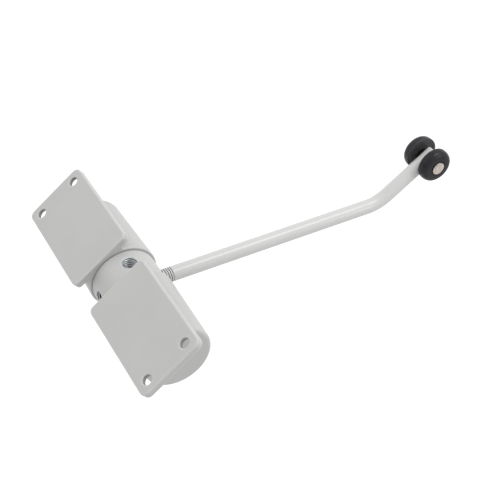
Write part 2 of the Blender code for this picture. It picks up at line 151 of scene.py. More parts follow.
def put_in_place(points, turn=0.0, half_turn=False):
    """Move local points into the frame.

    A half turn about Y takes (x, y, z) to (-x, y, -z). The turn then goes round Z, and last comes the
    place of the body's axis: AXIS_DEPTH behind the mounting plane, at COLLAR_Z.
    """
    placed = np.array(points, float)
    if half_turn:
        placed = placed * np.array([-1.0, 1.0, -1.0])
    cos, sin = np.cos(turn), np.sin(turn)
    placed = placed @ np.array([[cos, sin, 0.0], [-sin, cos, 0.0], [0.0, 0.0, 1.0]])
    return placed + np.array([0.0, -AXIS_DEPTH, COLLAR_Z])


def grid_quads(rows, columns, rows_join=False):
    """Corner numbers of the quads of a grid whose columns join round.

    Each quad takes its point, the next in the row, and the two below.
    """
    row = np.arange(rows if rows_join else rows - 1)[:, None]
    column = np.arange(columns)[None, :]
    below = (row + 1) % rows
    beside = (column + 1) % columns
    corners = [
        row * columns + column, row * columns + beside, below * columns + beside, below * columns + column]
    return np.stack(np.broadcast_arrays(*corners), -1).reshape(-1, 4)


def make_piece(name, points, quads, body, materials, recalculate=True, crest=None):
    """Make a smooth mesh piece from points in the frame, weld it, and let it ride on its body, if it has one.

    A thread's pieces also carry how near each point is to the crest, 0 in the groove and 1 on top.
    """
    mesh = bpy.data.meshes.new(name)
    mesh.vertices.add(len(points))
    mesh.vertices.foreach_set("co", (np.asarray(points) * MM).astype(np.float32).ravel())
    mesh.loops.add(quads.size)
    mesh.loops.foreach_set("vertex_index", quads.astype(np.int32).ravel())
    mesh.polygons.add(len(quads))
    mesh.polygons.foreach_set("loop_start", np.arange(len(quads), dtype=np.int32) * 4)
    mesh.update(calc_edges=True)
    if crest is not None:
        stored = mesh.attributes.new("crest", "FLOAT", "POINT")
        stored.data.foreach_set("value", crest.astype(np.float32).ravel())
    shape = bmesh.new()
    shape.from_mesh(mesh)
    if recalculate:
        bmesh.ops.remove_doubles(shape, verts=shape.verts, dist=0.002 * MM)
        bmesh.ops.recalc_face_normals(shape, faces=shape.faces)
    for face in shape.faces:
        face.smooth = True
    shape.to_mesh(mesh)
    shape.free()
    for material in materials:
        mesh.materials.append(material)
    piece = bpy.data.objects.new(name, mesh)
    bpy.context.scene.collection.objects.link(piece)
    if body:
        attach(piece, body)
    return piece


# ---------------------------------------------------------------- solids given by a field, and their skin

def rounded_common(first, second, radius):
    """Distance to what two solids share, with the edge between them rounded to a radius.

    Where both distances are above minus the radius, it is the length of the two overshoots, less it.
    """
    corner = np.hypot(np.maximum(first + radius, 0.0), np.maximum(second + radius, 0.0))
    return np.minimum(np.maximum(first, second), -radius) + corner


def filleted_union(first, second, radius):
    """Distance to two solids joined, with a fillet of that radius in the angle between them."""
    corner = np.hypot(np.maximum(radius - first, 0.0), np.maximum(radius - second, 0.0))
    return np.maximum(np.minimum(first, second), radius) - corner


def housing_field(x, y, z):
    """Distance field of one housing, about the body's axis, with the mouth towards the collar.

    A slab with round corners in plan and soft rims is joined by a fillet to a tapered cup whose outer
    end is rounded. The mouth plane cuts both, and then the bores, the web and the screw holes go out.
    """
    plate_low = MOUTH_Z - MOUTH_TRIM
    plate_high = MOUTH_Z + PLATE_LENGTH
    across = np.abs(x) - PLATE_WIDTH / 2
    along = np.abs(z - (plate_low + plate_high) / 2) - (plate_high - plate_low) / 2
    plan = rounded_common(across, along, PLATE_CORNER)
    slab = np.abs(y - (AXIS_DEPTH - PLATE_THICKNESS / 2)) - PLATE_THICKNESS / 2
    plate = rounded_common(plan, slab, PLATE_EDGE)

    from_axis = np.hypot(x, y)
    share = np.clip((z - MOUTH_Z) / (CUP_END_Z - MOUTH_Z), 0.0, 1.0)
    side = from_axis - (CUP_RADIUS_MOUTH + (CUP_RADIUS_END - CUP_RADIUS_MOUTH) * share)
    cup = rounded_common(side, z - CUP_END_Z, CUP_END_EDGE)
    solid = filleted_union(plate, cup, SADDLE_FILLET)
    solid = np.maximum(solid, y - AXIS_DEPTH)
    solid = rounded_common(solid, MOUTH_Z - z, MOUTH_EDGE)

    hollows = (
        (np.maximum(from_axis - THRUST_BORE, z - THRUST_SHOULDER_Z), 0.5),
        (rounded_common(from_axis - BORE_RADIUS, z - WEB_INNER_Z, 1.0), 0.5),
        (np.maximum(from_axis - BUSH_HOLE, z - CAP_INNER_Z), 0.5),
        (rounded_common(from_axis - RECESS_RADIUS, np.abs(z - (WEB_OUTER_Z + CAP_INNER_Z) / 2)
                        - (CAP_INNER_Z - WEB_OUTER_Z) / 2, 0.6), 0.3),
        (np.maximum(np.hypot(x, y - TANG_CIRCLE) - TANG_RADIUS, z - CAP_INNER_Z), 0.4),
    )
    for hollow, edge in hollows:
        solid = rounded_common(solid, -hollow, edge)

    from_screw = np.hypot(np.abs(x) - SCREW_PITCH / 2, z - (plate_high - SCREW_SETBACK))
    above_back = y - (AXIS_DEPTH - PLATE_THICKNESS)
    widening = np.clip(1.0 - above_back / COUNTERSINK_DEPTH, 0.0, 1.6)
    hole = from_screw - SCREW_RADIUS - (COUNTERSINK_RADIUS - SCREW_RADIUS) * widening
    hole = np.maximum(hole * 0.8, SCREW_HOLE_FROM - y)
    return rounded_common(solid, -hole, 0.45)


def collar_field(x, y, z):
    """Distance field of the collar: a short cylinder with four sockets, a square hole and tang holes."""
    from_axis = np.hypot(x, y)
    solid = rounded_common(from_axis - COLLAR_RADIUS, np.abs(z) - COLLAR_HALF, COLLAR_EDGE)
    square = rounded_common(np.abs(x) - SQUARE_HALF, np.abs(y) - SQUARE_HALF, 0.8)
    solid = rounded_common(solid, -square, 0.4)
    outward = np.maximum(np.abs(x), np.abs(y))
    sideways = np.minimum(np.abs(x), np.abs(y))
    socket = np.maximum(np.hypot(sideways, z) - SOCKET_WALL, SOCKET_FLOOR - outward)
    solid = rounded_common(solid, -socket, 0.35)
    angle = COIL_FIRST_ANGLE - ARM_ANGLE
    from_tang = np.hypot(x - TANG_CIRCLE * np.cos(angle), y - TANG_CIRCLE * np.sin(angle))
    tang = np.maximum(from_tang - TANG_RADIUS, 5.0 - np.abs(z))
    return rounded_common(solid, -tang, 0.3)


def slope_of(field, points, step=0.02):
    """Gradient of a field at points, from the difference of its values one small step to either side."""
    parts = []
    for axis in range(3):
        shift = np.zeros(3)
        shift[axis] = step
        parts.append((field(*(points + shift).T) - field(*(points - shift).T)) / (2 * step))
    return np.stack(parts, -1)


def settle(field, points, rounds=3):
    """Move points onto the field's zero surface, each along the gradient by the value over its square."""
    for _ in range(rounds):
        slope = slope_of(field, points)
        weight = np.maximum((slope ** 2).sum(-1, keepdims=True), 0.05)
        points = points - field(*points.T)[:, None] * slope / weight
    return points


def even_out(field, points, quads, rounds=4):
    """Slide each point along the surface half way to its neighbours' mean, and settle it again."""
    starts = quads.ravel()
    ends = np.roll(quads, -1, axis=1).ravel()
    count = np.bincount(starts, minlength=len(points)) + np.bincount(ends, minlength=len(points))
    for _ in range(rounds):
        mean = np.stack([
            np.bincount(starts, points[ends, axis], len(points))
            + np.bincount(ends, points[starts, axis], len(points))
            for axis in range(3)
        ], -1) / count[:, None]
        slope = slope_of(field, points)
        slope /= np.linalg.norm(slope, axis=-1, keepdims=True)
        move = mean - points
        move -= (move * slope).sum(-1, keepdims=True) * slope
        points = settle(field, points + 0.5 * move, 1)
    return points


def skin(field, low, high, pitch):
    """Closed quad skin of the solid where the field is negative.

    Space is cut into cubes. Each cube that the surface crosses gets one point, the mean of where its
    edges meet the surface, and each crossed edge gets a quad through its four cubes' points, turned to
    face outwards. The points are then settled on the surface and evened out along it.
    """
    axes = [np.arange(a, b + pitch, pitch) for a, b in zip(low, high)]
    value = field(*np.meshgrid(*axes, indexing="ij"))
    inside = value < 0.0
    cells = tuple(n - 1 for n in value.shape)
    filled = np.zeros(cells, int)
    corners = [(i, j, k) for i in (0, 1) for j in (0, 1) for k in (0, 1)]
    for i, j, k in corners:
        filled += inside[i:i + cells[0], j:j + cells[1], k:k + cells[2]]
    crossed = (filled > 0) & (filled < 8)
    place = np.argwhere(crossed)
    number = np.full(cells, -1)
    number[crossed] = np.arange(len(place))

    total = np.zeros((len(place), 3))
    count = np.zeros((len(place), 1))
    for start in corners:
        for axis in range(3):
            if start[axis] == 1:
                continue
            step = np.eye(3, dtype=int)[axis]
            here = value[tuple((place + start).T)]
            there = value[tuple((place + start + step).T)]
            met = ((here < 0.0) != (there < 0.0))[:, None]
            share = np.where(met[:, 0], here / np.where(here == there, 1.0, here - there), 0.0)
            total += met * (np.array(start) + share[:, None] * step)
            count += met
    points = np.array(low) + pitch * (place + total / count)

    quads = []
    for axis in range(3):
        step = np.eye(3, dtype=int)[axis]
        second, third = np.eye(3, dtype=int)[(axis + 1) % 3], np.eye(3, dtype=int)[(axis + 2) % 3]
        near = inside[tuple(slice(0, n - s) for n, s in zip(inside.shape, step))]
        far = inside[tuple(slice(s, n) for n, s in zip(inside.shape, step))]
        edge = np.argwhere(near != far)
        ring = np.stack([
            number[tuple((edge - back).T)] for back in (second + third, third, 0 * third, second)
        ], -1)
        leaving = near[tuple(edge.T)][:, None]
        quads.append(np.where(leaving, ring, ring[:, ::-1]))
    quads = np.concatenate(quads)
    points = even_out(field, settle(field, points), quads)
    return points, quads


# ---------------------------------------------------------------- profiles turned and carried

def softened(corners, cuts, steps=6):
    """Profile through corners, each rounded off.

    The curve leaves the first leg one cut before the corner P, at A, and joins the next one cut after
    it, at B, along (1-t)(1-t)A + 2t(1-t)P + ttB.
    """
    corners = np.asarray(corners, float)
    cuts = np.asarray(cuts, float)[:, None]
    ahead = np.roll(corners, -1, 0) - corners
    behind = np.roll(corners, 1, 0) - corners
    ahead /= np.linalg.norm(ahead, axis=1, keepdims=True)
    behind /= np.linalg.norm(behind, axis=1, keepdims=True)
    leave = (corners + behind * cuts)[:, None]
    join = (corners + ahead * cuts)[:, None]
    t = np.linspace(0.0, 1.0, steps)[None, :, None]
    curve = (1 - t) ** 2 * leave + 2 * t * (1 - t) * corners[:, None] + t ** 2 * join
    return curve.reshape(-1, 2)


def turned(profile, closed=True, columns=96):
    """Points (r cos a, r sin a, z) of a profile of (r, z) turned about Z, and the quads between them."""
    angle = np.arange(columns) * TAU / columns
    radius, height = profile[:, :1], profile[:, 1:]
    points = np.stack(np.broadcast_arrays(radius * np.cos(angle), radius * np.sin(angle), height), -1)
    return points.reshape(-1, 3), grid_quads(len(profile), columns, rows_join=closed)


def thread_wave(phase, groove=0.9):
    """Height of a thread, 0 in the groove and 1 on the crest, once each turn of the phase.

    It is a triangle wave from 0 to 1, stretched so that the groove takes the given share of the pitch,
    and cut off at 1 for a flat crest.
    """
    triangle = np.abs(2.0 * (phase % 1.0) - 1.0)
    return np.clip(triangle / groove, 0.0, 1.0)


def carried(path, normal, radius, squeeze=None, columns=64):
    """Surface of a round section carried along a path in a flat or coiled line.

    At each step of the path the section lies between the normal and the tangent's cross product with
    it. The radius may change along the path and round the section, and squeeze limits the section's
    second coordinate. The two ends close on the path.
    """
    angle = np.arange(columns) * TAU / columns
    tangent = np.gradient(path, axis=0)
    tangent /= np.linalg.norm(tangent, axis=1, keepdims=True)
    normal = normal - (normal * tangent).sum(1, keepdims=True) * tangent
    normal /= np.linalg.norm(normal, axis=1, keepdims=True)
    across = np.cross(tangent, normal)
    radius = np.broadcast_to(radius, (len(path), columns))
    first = radius * np.cos(angle)
    second = radius * np.sin(angle)
    if squeeze is not None:
        second = soft_limit(second, squeeze[:, None])
    points = path[:, None] + first[..., None] * normal[:, None] + second[..., None] * across[:, None]
    ends = np.repeat(path[[0, -1]][:, None], columns, 1)
    points = np.concatenate([ends[:1], points, ends[1:]])
    return points.reshape(-1, 3), grid_quads(len(points), columns)


def eased(share):
    """Share of the way from 0 to 1, slow at both ends: its square times three less twice itself."""
    return share ** 2 * (3.0 - 2.0 * share)


def soft_limit(value, limit, softness=0.35):
    """Value held within plus and minus the limit, easing into it by half a hyperbola's gap."""
    def least(a, b):
        """Smaller of two values, rounded off where they are near each other."""
        return 0.5 * (a + b - np.sqrt((a - b) ** 2 + softness ** 2) + softness * 0.2)
    return -least(-least(value, limit), limit)


def arm_line(distance):
    """Centre line of the arm at a distance along it: out along X, round the bend's arc, and straight on."""
    tangent = BEND_RADIUS * np.tan(BEND_ANGLE / 2)
    straight = BEND_DISTANCE - tangent
    turn = np.clip((distance - straight) / BEND_RADIUS, 0.0, BEND_ANGLE)
    after = np.maximum(distance - straight - BEND_RADIUS * BEND_ANGLE, 0.0)
    x = np.minimum(distance, straight) + BEND_RADIUS * np.sin(turn) + after * np.cos(BEND_ANGLE)
    y = BEND_RADIUS * (1.0 - np.cos(turn)) + after * np.sin(BEND_ANGLE)
    return np.stack([x, y, 0.0 * x], -1), turn


def pin_place():
    """Place of the roller pin in the collar's frame."""
    return np.array([
        BEND_DISTANCE + PIN_DISTANCE * np.cos(BEND_ANGLE), PIN_DISTANCE * np.sin(BEND_ANGLE), 0.0])


# ---------------------------------------------------------------- shader helpers

class Shader:
    """Short way to add and link the nodes of one tree."""

    def __init__(self, tree):
        """Keep the tree that the nodes go into."""
        self.tree = tree

    def node(self, kind, settings=None, **inputs):
        """New node with its settings, and its named inputs set or linked."""
        node = self.tree.nodes.new(kind)
        for name, value in (settings or {}).items():
            setattr(node, name, value)
        for name, value in inputs.items():
            self.feed(node.inputs[name.replace("_", " ")], value)
        return node

    def feed(self, socket, value):
        """Link a socket to another, or give it a value."""
        if isinstance(value, bpy.types.NodeSocket):
            self.tree.links.new(value, socket)
        else:
            socket.default_value = value

    def maths(self, operation, first, second=0.0, clamp=False):
        """Result of one Math node."""
        node = self.tree.nodes.new("ShaderNodeMath")
        node.operation = operation
        node.use_clamp = clamp
        self.feed(node.inputs[0], first)
        self.feed(node.inputs[1], second)
        return node.outputs[0]

    def noise(self, vector, scale, detail=2.0, roughness=0.5):
        """Noise between 0 and 1, about a half on the mean."""
        node = self.node("ShaderNodeTexNoise", Vector=vector, Scale=scale, Detail=detail, Roughness=roughness)
        return node.outputs["Fac"]

    def spread(self, value, low, high, to_low=0.0, to_high=1.0):
        """Value carried from one range to another, and held within it."""
        node = self.tree.nodes.new("ShaderNodeMapRange")
        for name, number in (("From Min", low), ("From Max", high), ("To Min", to_low), ("To Max", to_high)):
            node.inputs[name].default_value = number
        self.feed(node.inputs["Value"], value)
        return node.outputs[0]

    def blend(self, share, first, second):
        """Colour between two, by a share. The node's sockets share their names, so they go by number."""
        node = self.tree.nodes.new("ShaderNodeMix")
        node.data_type = "RGBA"
        for index, value in ((0, share), (6, first), (7, second)):
            self.feed(node.inputs[index], value)
        return node.outputs[2]


def make_group(name, inputs, outputs):
    """Start a shader node group with named sockets, and return it with its shader and two end nodes."""
    tree = bpy.data.node_groups.new(name, "ShaderNodeTree")
    for socket, kind, default in inputs:
        made = tree.interface.new_socket(socket, in_out="INPUT", socket_type=kind)
        if default is not None:
            made.default_value = default
    for socket, kind in outputs:
        tree.interface.new_socket(socket, in_out="OUTPUT", socket_type=kind)
    shader = Shader(tree)
    return tree, shader, shader.node("NodeGroupInput"), shader.node("NodeGroupOutput")


def powder_grain_group():
    """Powder coat: a fine orange peel as a height, and a broad, faint unevenness of tone."""
    tree, shader, given, result = make_group(
        "powder_grain",
        [("Vector", "NodeSocketVector", None), ("Peel Scale", "NodeSocketFloat", 620.0)],
        [("Height", "NodeSocketFloat"), ("Tone", "NodeSocketFloat"), ("Speck", "NodeSocketFloat")],
    )
    vector = given.outputs["Vector"]
    peel = shader.noise(vector, given.outputs["Peel Scale"], 1.5)
    fine = shader.noise(vector, 2600.0, 2.0)
    height = shader.maths(
        "ADD", shader.maths("MULTIPLY", peel, 0.75), shader.maths("MULTIPLY", fine, 0.25))
    shader.feed(result.inputs["Height"], height)
    shader.feed(result.inputs["Tone"], shader.spread(shader.noise(vector, 34.0, 3.0, 0.55), 0.3, 0.7))
    shader.feed(result.inputs["Speck"], shader.spread(shader.noise(vector, 900.0, 1.0), 0.72, 0.80))
    return tree


def edge_and_crease_group():
    """Where a surface turns outwards or inwards: masks for paler edges, which on the paint are partly wear
    and partly painted highlight, and for painted shade in creases.
    """
    tree, shader, given, result = make_group(
        "edge_and_crease",
        [("Vector", "NodeSocketVector", None), ("Reach", "NodeSocketFloat", 0.03)],
        [("Edge", "NodeSocketFloat"), ("Crease", "NodeSocketFloat")],
    )
    bend = shader.node("ShaderNodeNewGeometry").outputs["Pointiness"]
    broken = shader.spread(shader.noise(given.outputs["Vector"], 260.0, 3.0), 0.3, 0.7, 0.55, 1.0)
    reach = given.outputs["Reach"]
    over = shader.maths("DIVIDE", shader.maths("SUBTRACT", bend, 0.505), reach, clamp=True)
    under = shader.maths("DIVIDE", shader.maths("SUBTRACT", 0.495, bend), reach, clamp=True)
    shader.feed(result.inputs["Edge"], shader.maths("MULTIPLY", over, broken))
    shader.feed(result.inputs["Crease"], shader.maths("MULTIPLY", under, broken))
    return tree


def turning_marks_group():
    """Fine rings left by the lathe, as noise on the distance from the piece's Z axis and its height."""
    tree, shader, given, result = make_group(
        "turning_marks",
        [("Vector", "NodeSocketVector", None), ("Fineness", "NodeSocketFloat", 3200.0)],
        [("Lines", "NodeSocketFloat"), ("Smudge", "NodeSocketFloat")],
    )
    parts = shader.node("ShaderNodeSeparateXYZ", Vector=given.outputs["Vector"])
    square = [shader.maths("POWER", parts.outputs[axis], 2.0) for axis in ("X", "Y")]
    radius = shader.maths("SQRT", shader.maths("ADD", *square))
    rings = shader.node("ShaderNodeCombineXYZ", X=radius, Y=0.0, Z=parts.outputs["Z"])
    lines = shader.noise(rings.outputs[0], given.outputs["Fineness"], 1.0)
    shader.feed(result.inputs["Lines"], lines)
    shader.feed(result.inputs["Smudge"], shader.noise(given.outputs["Vector"], 420.0, 3.0))
    return tree


GROUPS = {
    "powder_grain": powder_grain_group(),
    "edge_and_crease": edge_and_crease_group(),
    "turning_marks": turning_marks_group(),
}


def start_material(name, centre=(0.0, 0.0, 0.0), turn=0.0):
    """New material with its Principled shader, and object coordinates measured from a centre."""
    material = bpy.data.materials.new(name)
    material.use_nodes = True
    shader = Shader(material.node_tree)
    surface = material.node_tree.nodes["Principled BSDF"]
    place = shader.node("ShaderNodeTexCoord").outputs["Object"]
    mapping = shader.node("ShaderNodeMapping", {"vector_type": "TEXTURE"}, Vector=place)
    mapping.inputs["Location"].default_value = centre
    mapping.inputs["Rotation"].default_value = (0.0, 0.0, turn)
    return material, shader, surface, mapping.outputs[0]


def opaque(colour, brighter=1.0):
    """Opaque colour for a socket, made brighter by a factor and held at 1."""
    return (*[min(1.0, brighter * part) for part in colour], 1.0)


def use_group(shader, name, vector, **values):
    """Outputs of a shared group, put into a material's tree."""
    node = shader.node("ShaderNodeGroup", {"node_tree": GROUPS[name]}, Vector=vector, **values)
    return node.outputs


def bump(shader, surface, height, strength, distance):
    """Give the surface a bump from a height, with the full depth in metres."""
    node = shader.node("ShaderNodeBump", Height=height, Strength=strength, Distance=distance)
    shader.feed(surface.inputs["Normal"], node.outputs[0])


def shade_hole_walls(shader, vector, painted):
    """The paint, except on the screw holes' walls, which are painted dark from half a millimetre in: painted
    shade inside the holes.
    """
    parts = shader.node("ShaderNodeSeparateXYZ", Vector=vector).outputs
    across = shader.maths("SUBTRACT", shader.maths("ABSOLUTE", parts["X"]), SCREW_PITCH / 2 * MM)
    row = (MOUTH_Z + PLATE_LENGTH - SCREW_SETBACK) * MM
    along = shader.maths("SUBTRACT", shader.maths("ABSOLUTE", parts["Z"]), row)
    square = shader.maths("ADD", shader.maths("POWER", across, 2.0), shader.maths("POWER", along, 2.0))
    near = shader.spread(
        shader.maths("SQRT", square), (SCREW_RADIUS + 0.6) * MM, (SCREW_RADIUS + 0.3) * MM)
    deep = shader.spread(parts["Y"], (AXIS_DEPTH - 0.4) * MM, (AXIS_DEPTH - 0.9) * MM)
    # Painted shade: dark grey on the hole walls for the shade inside the holes.
    return shader.blend(shader.maths("MULTIPLY", near, deep), painted, opaque((0.26, 0.26, 0.26)))


def powder_paint(name, light, dark, gloss, peel_scale, peel_depth, shaded_holes=False):
    """Light grey powder coat: orange peel, faint unevenness, paler edges that are worn paint and painted
    highlight, painted shade in creases, and where asked painted shade in the screw holes.
    """
    material, shader, surface, vector = start_material(name, BODY_CENTRE)
    grain = use_group(shader, "powder_grain", vector, Peel_Scale=peel_scale)
    bends = use_group(shader, "edge_and_crease", vector)
    tone = shader.blend(grain["Tone"], opaque(dark), opaque(light))
    # Paler edges: partly worn paint, partly a painted highlight along the lit bevels.
    edge_highlit = shader.blend(shader.maths("MULTIPLY", bends["Edge"], 0.7), tone, opaque(light, 1.20))
    # Painted shade: the paint is darker in the creases.
    crease_shaded = shader.blend(shader.maths("MULTIPLY", bends["Crease"], 0.5), edge_highlit, opaque(dark, 0.80))
    flecked = shader.blend(shader.maths("MULTIPLY", grain["Speck"], 0.10), crease_shaded, opaque((0.30, 0.30, 0.30)))
    # Painted shade in the screw holes, where asked.
    if shaded_holes:
        flecked = shade_hole_walls(shader, vector, flecked)
    shader.feed(surface.inputs["Base Color"], flecked)
    dull = shader.spread(grain["Height"], 0.3, 0.7, gloss - 0.04, gloss + 0.05)
    shader.feed(surface.inputs["Roughness"], dull)
    surface.inputs["Specular IOR Level"].default_value = 0.45
    bump(shader, surface, grain["Height"], 0.35, peel_depth)
    return material


def turned_metal(name, light, dark, roughness, centre, shaded_within=None):
    """Bare turned metal: lathe rings, and smudges that dull it in places.

    Where the last argument is given, nearer than that to the centre along Z the metal is painted near black:
    painted shade and dark reflection of the black roller on the rivet heads' sides.
    """
    material, shader, surface, vector = start_material(name, centre)
    marks = use_group(shader, "turning_marks", vector, Fineness=3200.0)
    bends = use_group(shader, "edge_and_crease", vector)
    tone = shader.blend(shader.spread(marks["Smudge"], 0.35, 0.65), opaque(dark), opaque(light))
    worn_and_shaded = shader.blend(shader.maths("MULTIPLY", bends["Edge"], 0.5), tone, opaque(light, 1.25))
    # Painted shade: the rivet heads' sides are painted near black for their shade and the dark reflection of
    # the roller.
    if shaded_within is not None:
        height = shader.node("ShaderNodeSeparateXYZ", Vector=vector).outputs["Z"]
        out_of_shade = shader.spread(shader.maths("ABSOLUTE", height), shaded_within - 0.3 * MM, shaded_within)
        worn_and_shaded = shader.blend(out_of_shade, opaque((0.035, 0.03, 0.028)), worn_and_shaded)
    shader.feed(surface.inputs["Base Color"], worn_and_shaded)
    surface.inputs["Metallic"].default_value = 1.0
    smudged = shader.spread(marks["Smudge"], 0.3, 0.7, roughness - 0.05, roughness + 0.08)
    ringed = shader.spread(marks["Lines"], 0.3, 0.7, -0.03, 0.03)
    shader.feed(surface.inputs["Roughness"], shader.maths("ADD", smudged, ringed))
    bump(shader, surface, marks["Lines"], 0.4, 0.02 * MM)
    return material


def cut_thread(name, centre, groove, flank, crest, metallic, roughness):
    """Cut thread, darker towards the groove: painted shade in the grooves and down the flanks, with the
    crests at the thread's own tone, by each point's nearness to the crest.
    """
    material, shader, surface, vector = start_material(name, centre)
    height = shader.node("ShaderNodeAttribute", {"attribute_name": "crest"}).outputs["Fac"]
    cloud = shader.noise(vector, 900.0, 3.0)
    uneven = shader.maths("ADD", height, shader.spread(cloud, 0.3, 0.7, -0.08, 0.08))
    # Painted shade: the colour darkens from the crest down into the groove.
    low = shader.blend(shader.spread(uneven, 0.1, 0.6), opaque(groove), opaque(flank))
    tone = shader.blend(shader.spread(uneven, 0.65, 0.95), low, opaque(crest))
    shader.feed(surface.inputs["Base Color"], tone)
    surface.inputs["Metallic"].default_value = metallic
    dull = shader.spread(cloud, 0.3, 0.7, roughness - 0.06, roughness + 0.08)
    shader.feed(surface.inputs["Roughness"], dull)
    bump(shader, surface, cloud, 0.3, 0.03 * MM)
    return material


def moulded_nylon(name, light, dark, roughness, grain_scale=1500.0, shine=0.5, lit_within=None):
    """Moulded nylon: satin skin with a fine grain, flow clouds and rubbed, paler edges.

    Where the last argument is given, the skin is paler nearer than that to the middle of the body's length:
    painted light on the rollers' inner faces.
    """
    material, shader, surface, vector = start_material(name, BODY_CENTRE)
    flow = shader.noise(vector, 240.0, 4.0, 0.6)
    grain = shader.noise(vector, grain_scale, 2.0)
    bends = use_group(shader, "edge_and_crease", vector, Reach=0.05)
    tone = shader.blend(shader.spread(flow, 0.35, 0.65), opaque(dark), opaque(light))
    rubbed = shader.blend(shader.maths("MULTIPLY", bends["Edge"], 0.4), tone, opaque(light, 1.3))
    # Painted light: the rollers' inner faces are painted paler, with a speckled spread.
    if lit_within is not None:
        height = shader.node("ShaderNodeSeparateXYZ", Vector=vector).outputs["Z"]
        inner_light = shader.spread(shader.maths("ABSOLUTE", height), lit_within + 0.4 * MM, lit_within)
        specks = shader.spread(shader.noise(vector, 900.0, 3.0, 0.6), 0.35, 0.65, 0.4, 1.0)
        rubbed = shader.blend(shader.maths("MULTIPLY", inner_light, specks), rubbed, opaque((0.050, 0.050, 0.053)))
    shader.feed(surface.inputs["Base Color"], rubbed)
    dull = shader.spread(flow, 0.3, 0.7, roughness - 0.05, roughness + 0.07)
    shader.feed(surface.inputs["Roughness"], dull)
    surface.inputs["Specular IOR Level"].default_value = shine
    bump(shader, surface, grain, 0.35, 0.08 * MM)
    return material


def porous_bronze(name):
    """Sintered bronze: fine dark pores in a dull golden metal, wet with oil."""
    material, shader, surface, vector = start_material(name)
    pores = shader.node("ShaderNodeTexVoronoi", Vector=vector, Scale=2400.0).outputs["Distance"]
    open_pore = shader.spread(pores, 0.12, 0.3)
    tone = shader.blend(open_pore, opaque((0.12, 0.08, 0.04)), opaque((0.60, 0.42, 0.20)))
    shader.feed(surface.inputs["Base Color"], tone)
    surface.inputs["Metallic"].default_value = 1.0
    shader.feed(surface.inputs["Roughness"], shader.spread(open_pore, 0.0, 1.0, 0.7, 0.38))
    bump(shader, surface, open_pore, 0.5, 0.05 * MM)
    return material


def in_frame(point, turn=0.0):
    """A local point, in metres in the frame."""
    return tuple(put_in_place([point], turn)[0] * MM)


PIN_CENTRE = in_frame(pin_place(), ARM_ANGLE)
BODY_CENTRE = in_frame((0.0, 0.0, 0.0))

CASTING_PAINT = powder_paint(
    "casting_paint", (0.455, 0.455, 0.448), (0.435, 0.434, 0.428), 0.46, 560.0, 0.08 * MM, shaded_holes=True)
COLLAR_PAINT = powder_paint(
    "collar_paint", (0.465, 0.465, 0.458), (0.445, 0.445, 0.44), 0.44, 700.0, 0.05 * MM)
ROD_PAINT = powder_paint("rod_paint", (0.525, 0.525, 0.52), (0.505, 0.505, 0.50), 0.28, 760.0, 0.04 * MM)
SOCKET_THREAD = cut_thread(
    "socket_thread", BODY_CENTRE, (0.045, 0.05, 0.055), (0.33, 0.355, 0.37), (0.80, 0.85, 0.88), 0.8, 0.34)
ROD_THREAD = cut_thread(
    "rod_thread", BODY_CENTRE, (0.045, 0.05, 0.055), (0.24, 0.255, 0.26), (0.51, 0.52, 0.515), 0.0, 0.36)
RIVET_STEEL = turned_metal(
    "rivet_steel", (0.67, 0.60, 0.55), (0.46, 0.41, 0.37), 0.36, PIN_CENTRE, (PIN_HEAD_TOP - 0.35) * MM)
BARE_STEEL = turned_metal("bare_steel", (0.60, 0.60, 0.60), (0.46, 0.46, 0.46), 0.32, BODY_CENTRE)
SPRING_STEEL = turned_metal("oiled_spring_steel", (0.22, 0.22, 0.23), (0.10, 0.10, 0.11), 0.34, BODY_CENTRE)
BLACK_NYLON = moulded_nylon(
    "black_nylon", (0.016, 0.016, 0.021), (0.006, 0.006, 0.008), 0.34, 700.0, 0.25, (ROLLER_INNER + 0.6) * MM)
NATURAL_NYLON = moulded_nylon("natural_nylon", (0.70, 0.66, 0.55), (0.62, 0.58, 0.48), 0.48)
SINTERED_BRONZE = porous_bronze("sintered_bronze")


# ---------------------------------------------------------------- pieces

def make_housings():
    """Two housings from one casting, the lower one turned end for end. Paint bridges the end caps' joints."""
    points, quads = skin(housing_field, (-25.0, -25.0, 9.5), (25.0, 27.0, 92.0), 0.56)
    for side in ("upper", "lower"):
        placed = put_in_place(points, half_turn=side == "lower")
        piece = make_piece(
            side + "_housing_casting", placed, quads, "body", [CASTING_PAINT],
            recalculate=False)
        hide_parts(side + "_housing", side + "_end_cap")


def make_collar():
    """Collar between the housings, turned so that one socket faces along the arm."""
    points, quads = skin(collar_field, (-23.0, -23.0, -12.2), (23.0, 23.0, 12.2), 0.42)
    placed = put_in_place(points, ARM_ANGLE)
    piece = make_piece(
        "collar_ring", placed, quads, "collar_and_arm", [COLLAR_PAINT], recalculate=False)
    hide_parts("collar")


